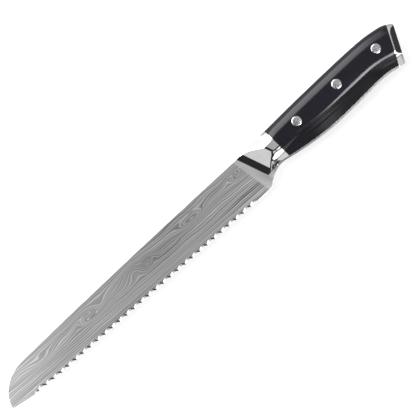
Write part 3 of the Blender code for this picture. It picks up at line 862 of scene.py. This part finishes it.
def polished_steel():
    """Mirror-polished steel with faint polishing lines, smears and softened edges."""
    tone, rough = 0.72, 0.055
    material, build, surface, place = new_material("polished_steel", 1.0)
    lines = build.noise(build.scaled(place, (900, 5200, 1500)), detail=3.0, roughness=0.6)
    smear = build.noise(place, 140.0, detail=4.0, roughness=0.6)
    wear_and_highlight = build.between(build.node("ShaderNodeNewGeometry", output="Pointiness"), 0.50, 0.56)
    shade = build.between(smear, 0.3, 0.7, tone * 0.97, tone * 1.03)
    tint = build.grey(build.add(shade, build.times(wear_and_highlight, 0.04)), 1.008)
    roughness = build.add(build.between(smear, 0.25, 0.75, rough * 0.8, rough * 1.35),
                          build.times(wear_and_highlight, 0.05))
    roughness = build.add(roughness, build.around(lines, 0.5, 0.02))
    normal = build.bump(lines, 0.02, 0.01 * MM)
    connect(build, surface, Base_Color=tint, Roughness=roughness, Normal=normal)
    return material


def black_scale():
    """Black resin-bonded wood: fine grain along the handle, satin, lighter on the ridge and edges: a
    little wear and a painted highlight.
    """
    material, build, surface, place = new_material("black_scale", 0.0, 0.22)
    warp = build.noise(build.scaled(place, (30, 90, 90)), detail=2.0)
    shift = build.joined(0.0, build.times(warp, 4.0 * MM), build.times(warp, 3.0 * MM))
    bent = build.node("ShaderNodeVectorMath", {0: place, 1: shift}, operation="ADD")
    grain = build.noise(build.scaled(bent, (70, 2300, 2300)), detail=4.0, roughness=0.62)
    pores = build.noise(build.scaled(bent, (160, 5200, 5200)), detail=2.0)
    cloud = build.noise(build.scaled(place, (40, 120, 120)), detail=2.0)
    # Lighter on the ridge and the rounded edges: partly wear, partly a painted highlight along the ridge
    wear_and_highlight = build.between(build.node("ShaderNodeNewGeometry", output="Pointiness"), 0.505, 0.56)
    tint = build.colour(build.add(build.times(grain, 0.75), build.times(cloud, 0.25)),
                        (0.28, (0.0010, 0.0009, 0.0036)), (0.72, (0.0034, 0.0031, 0.0068)))
    tint = build.node("ShaderNodeMix", {0: build.times(wear_and_highlight, 0.5), 6: tint, 7: (0.012, 0.012, 0.014, 1)},
                      output=2, data_type="RGBA")
    rough = build.add(build.between(grain, 0.25, 0.75, 0.22, 0.15), build.times(cloud, 0.04))
    rough = build.add(rough, build.times(build.between(pores, 0.62, 0.74), 0.08))
    normal = build.bump(grain, 0.16, 0.04 * MM)
    normal = build.bump(build.between(pores, 0.60, 0.75), -0.10, 0.03 * MM, normal)
    connect(build, surface, Base_Color=tint, Roughness=rough, Normal=normal)
    return material


def rivet_steel():
    """Turned steel with faint rings round each rivet's centre and a satin face; a painted highlight makes
    each head lighter towards its rim.
    """
    material, build, surface, place = new_material("rivet_steel", 1.0)
    level = build.joined(*build.split(place)[:2])
    nearest = None
    for centre in RIVETS.values():
        distance = build.node("ShaderNodeVectorMath", {0: level, 1: (*centre, 0.0)}, output=1,
                              operation="DISTANCE")
        nearest = distance if nearest is None else build.math("MINIMUM", nearest, distance)
    rings = build.noise(build.joined(build.times(nearest, 5200.0), 0.0), detail=2.0)
    smear = build.noise(place, 900.0, detail=3.0, roughness=0.6)
    part = build.times(nearest, 1 / HEAD_RADIUS)
    marks = build.add(build.around(rings, 0.5, 0.10), build.around(smear, 0.5, 0.06))
    # Painted highlight: each head's tint grows lighter from its middle towards its rounded rim
    tint = build.grey(build.add(build.between(part, 0.35, 0.95, 0.27, 0.37), marks), 1.01)
    rough = build.add(build.between(smear, 0.2, 0.8, 0.20, 0.27), build.times(rings, 0.05))
    connect(build, surface, Base_Color=tint, Roughness=rough, Normal=build.bump(rings, 0.05, 0.02 * MM))
    return material


# ---------------------------------------------------------------- the knife

ETCHED, GROUND = etched_steel(), ground_steel()
POLISHED, BLACK, RIVET = polished_steel(), black_scale(), rivet_steel()


def fit(piece, node, slot, *materials):
    """Put a piece on the root body in place of a CAD node, with its materials. The slot argument is not
    used.
    """
    for material in materials:
        piece.data.materials.append(material)
    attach(piece, "root")
    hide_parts(node)


fit(make_blade(), "blade", "etched_steel", ETCHED, GROUND)
for name, bolster in zip(("bolster_left", "bolster_right"), make_bolsters()):
    fit(bolster, name, "polished_steel", POLISHED)
for name, scale in zip(("scale_left", "scale_right"), make_scales()):
    fit(scale, name, "black_scale", BLACK)
fit(make_cap(), "end_cap", "polished_steel", POLISHED)
for name, rivet in make_rivets().items():
    fit(rivet, name, "rivet_steel", RIVET)


# ---------------------------------------------------------------- studio

def make_sheet(name, width, height):
    """One flat face in its own XY plane."""
    x, y = width / 2, height / 2
    mesh = bpy.data.meshes.new(name)
    mesh.from_pydata([(-x, -y, 0), (x, -y, 0), (x, y, 0), (-x, y, 0)], [], [(0, 1, 2, 3)])
    sheet = bpy.data.objects.new(name, mesh)
    bpy.context.scene.collection.objects.link(sheet)
    return sheet


def make_glow(obj, grey, strength):
    """Give an object a grey material that glows white; returns its tree and its shader node."""
    material = bpy.data.materials.new(obj.name)
    material.use_nodes = True
    surface = material.node_tree.nodes["Principled BSDF"]
    surface.inputs["Base Color"].default_value = (grey, grey, grey, 1.0)
    surface.inputs["Emission Color"].default_value = (1.0, 1.0, 1.0, 1.0)
    surface.inputs["Emission Strength"].default_value = strength
    obj.data.materials.append(material)
    return material.node_tree, surface


def make_floor():
    """A wide plain floor under the knife, as low as the heads of the rivets reach."""
    floor = make_sheet("floor", 2 * STUDIO_RADIUS, 2 * STUDIO_RADIUS)
    floor.location.z = CAD_LOW.z - HEAD_PROUD
    _, surface = make_glow(floor, 0.30, 0.80)
    surface.inputs["Roughness"].default_value = 0.9
    surface.inputs["Specular IOR Level"].default_value = 0.0
    floor.visible_glossy = False


def make_backdrop():
    """A pale dome round everything, which only the camera sees."""
    steps = 24
    angles = [math.pi * i / steps for i in range(steps + 1)]
    profile = [(STUDIO_RADIUS * math.sin(angle), STUDIO_RADIUS * math.cos(angle)) for angle in angles]
    dome = turned("backdrop", profile, (0, 0))
    make_glow(dome, 0.0, 0.95)
    dome.visible_diffuse = dome.visible_glossy = dome.visible_transmission = dome.visible_shadow = False


def make_card(name, centre, aim, width, height, light):
    """A light card aimed at the knife, brighter towards the butt, which shows only in reflections."""
    card = make_sheet(name, width, height)
    card.location = centre
    card.rotation_euler = (aim - centre).to_track_quat("Z", "Y").to_euler()
    tree, surface = make_glow(card, 0.0, 0.0)
    build = Shader(tree)
    along = build.split(build.node("ShaderNodeNewGeometry"))[0]
    start = centre.x - width / 2
    strength = build.between(along, start, start + CARD_FADE * width, 0.0, light)
    connect(build, surface, Emission_Strength=strength)
    card.visible_camera = card.visible_diffuse = card.visible_shadow = False


def off_zenith(build, direction, azimuth, near, far, spread, soft, side_soft):
    """A patch of the sky: from near to far degrees off the zenith, within spread of an azimuth."""
    x, y, z = build.split(direction)
    tilt = build.times(build.math("ARCCOSINE", z), 180 / math.pi)
    turn = math.radians(azimuth)
    ahead = build.add(build.times(x, math.cos(turn)), build.times(y, math.sin(turn)))
    aside = build.add(build.times(x, -math.sin(turn)), build.times(y, math.cos(turn)))
    away = build.math("ABSOLUTE", build.times(build.math("ARCTAN2", aside, ahead), 180 / math.pi))
    patch = build.times(build.between(tilt, near - soft / 2, near + soft / 2),
                        build.between(tilt, far - soft / 2, far + soft / 2, 1.0, 0.0))
    sides_off = build.between(away, spread - side_soft / 2, spread + side_soft / 2, 1.0, 0.0)
    return build.times(patch, sides_off)


# The studio round the knife: azimuth, from and to degrees off the zenith, spread, softness of the two
# ends and of the sides, all in degrees, and light
STUDIO = [
    (203.0, 0.5, 60.0, 80.0, 1.5, 20.0, 0.03),      # black ceiling towards the tip
    (300.0, 4.0, 40.0, 60.0, 3.0, 20.0, 0.05),      # and in front
    (0.0, 60.0, 100.0, 36.0, 10.0, 16.0, 0.05),     # flag past the butt
    (203.0, 41.0, 140.0, 13.0, 2.0, 6.0, 0.85),     # card past the tip
    (122.0, 84.0, 118.0, 38.0, 6.0, 24.0, 1.4),     # white wall behind the back of the knife
    (122.0, 22.0, 90.0, 38.0, 12.0, 24.0, 10.0),    # and a large softbox over it
    (288.0, 56.0, 88.0, 38.0, 4.0, 8.0, 0.95),      # card in front
    (301.0, 56.0, 88.0, 24.0, 4.0, 6.0, 2.2),       # and its brighter end towards the butt
    (285.0, 88.0, 130.0, 36.0, 4.0, 8.0, 1.7),      # white table edge
    (236.0, 38.0, 104.0, 26.0, 4.0, 4.0, 0.03),     # flag in front, towards the tip
    (267.5, 38.0, 57.0, 4.0, 4.0, 3.0, 0.03),       # slits beside it
    (264.0, 87.0, 97.0, 12.0, 2.0, 4.0, 0.03),
    (272.0, 36.0, 97.0, 3.5, 2.0, 2.0, 0.03),
    (258.5, 30.0, 86.0, 4.5, 3.0, 3.0, 0.85),       # narrow cards between them
    (265.0, 60.0, 86.0, 4.5, 3.0, 3.0, 0.85),
    (0.0, -5.0, 2.6, 360.0, 1.0, 10.0, 0.50),       # opening over the camera
    (0.0, 1.6, 14.0, 70.0, 0.8, 20.0, 1.2),         # and towards the butt
]


def make_world():
    """The studio as light from each direction, above and below the horizon."""
    world = bpy.data.worlds.new("studio")
    world.use_nodes = True
    tree = world.node_tree
    build = Shader(tree)
    direction = build.node("ShaderNodeTexCoord", output="Generated")
    light = build.between(build.split(direction)[2], -0.3, 0.25, 0.62, 0.80)
    for azimuth, near, far, spread, soft, side_soft, value in STUDIO:
        patch = off_zenith(build, direction, azimuth, near, far, spread, soft, side_soft)
        light = build.add(build.times(light, build.add(build.times(patch, -1.0), 1.0)),
                          build.times(patch, value))
    background = tree.nodes["Background"]
    tree.links.new(light, background.inputs["Color"])
    background.inputs["Strength"].default_value = 1.0
    bpy.context.scene.world = world


def make_camera():
    """The camera straight above the knife, turned so that the tip is at the lower left."""
    data = bpy.data.cameras.new("camera")
    data.sensor_width, data.lens = SENSOR_WIDTH, FOCAL_LENGTH
    data.clip_end = 50.0
    camera = bpy.data.objects.new("camera", data)
    height = FRAME_WIDTH * FOCAL_LENGTH / SENSOR_WIDTH
    camera.location = CENTRE + CAMERA_SHIFT + Vector((0.0, 0.0, height))
    camera.rotation_euler = (0.0, 0.0, CAMERA_TURN)
    bpy.context.scene.collection.objects.link(camera)
    bpy.context.scene.camera = camera


make_floor()
make_backdrop()
RIDGE_REAR = CENTRE + Vector((0.126, -0.002, 0.010))
SCALE_FRONT = CENTRE + Vector((0.089, 0.0, 0.0))
make_card("card", RIDGE_REAR + Vector((0.008, -0.16, 0.28)), RIDGE_REAR, 0.075, 0.18, 32.0)
make_card("low_card", SCALE_FRONT + Vector((0.0, -0.30, 0.09)), SCALE_FRONT, 0.058, 0.16, 3.5)
make_world()
make_camera()
bpy.context.scene.view_settings.view_transform = "Standard"
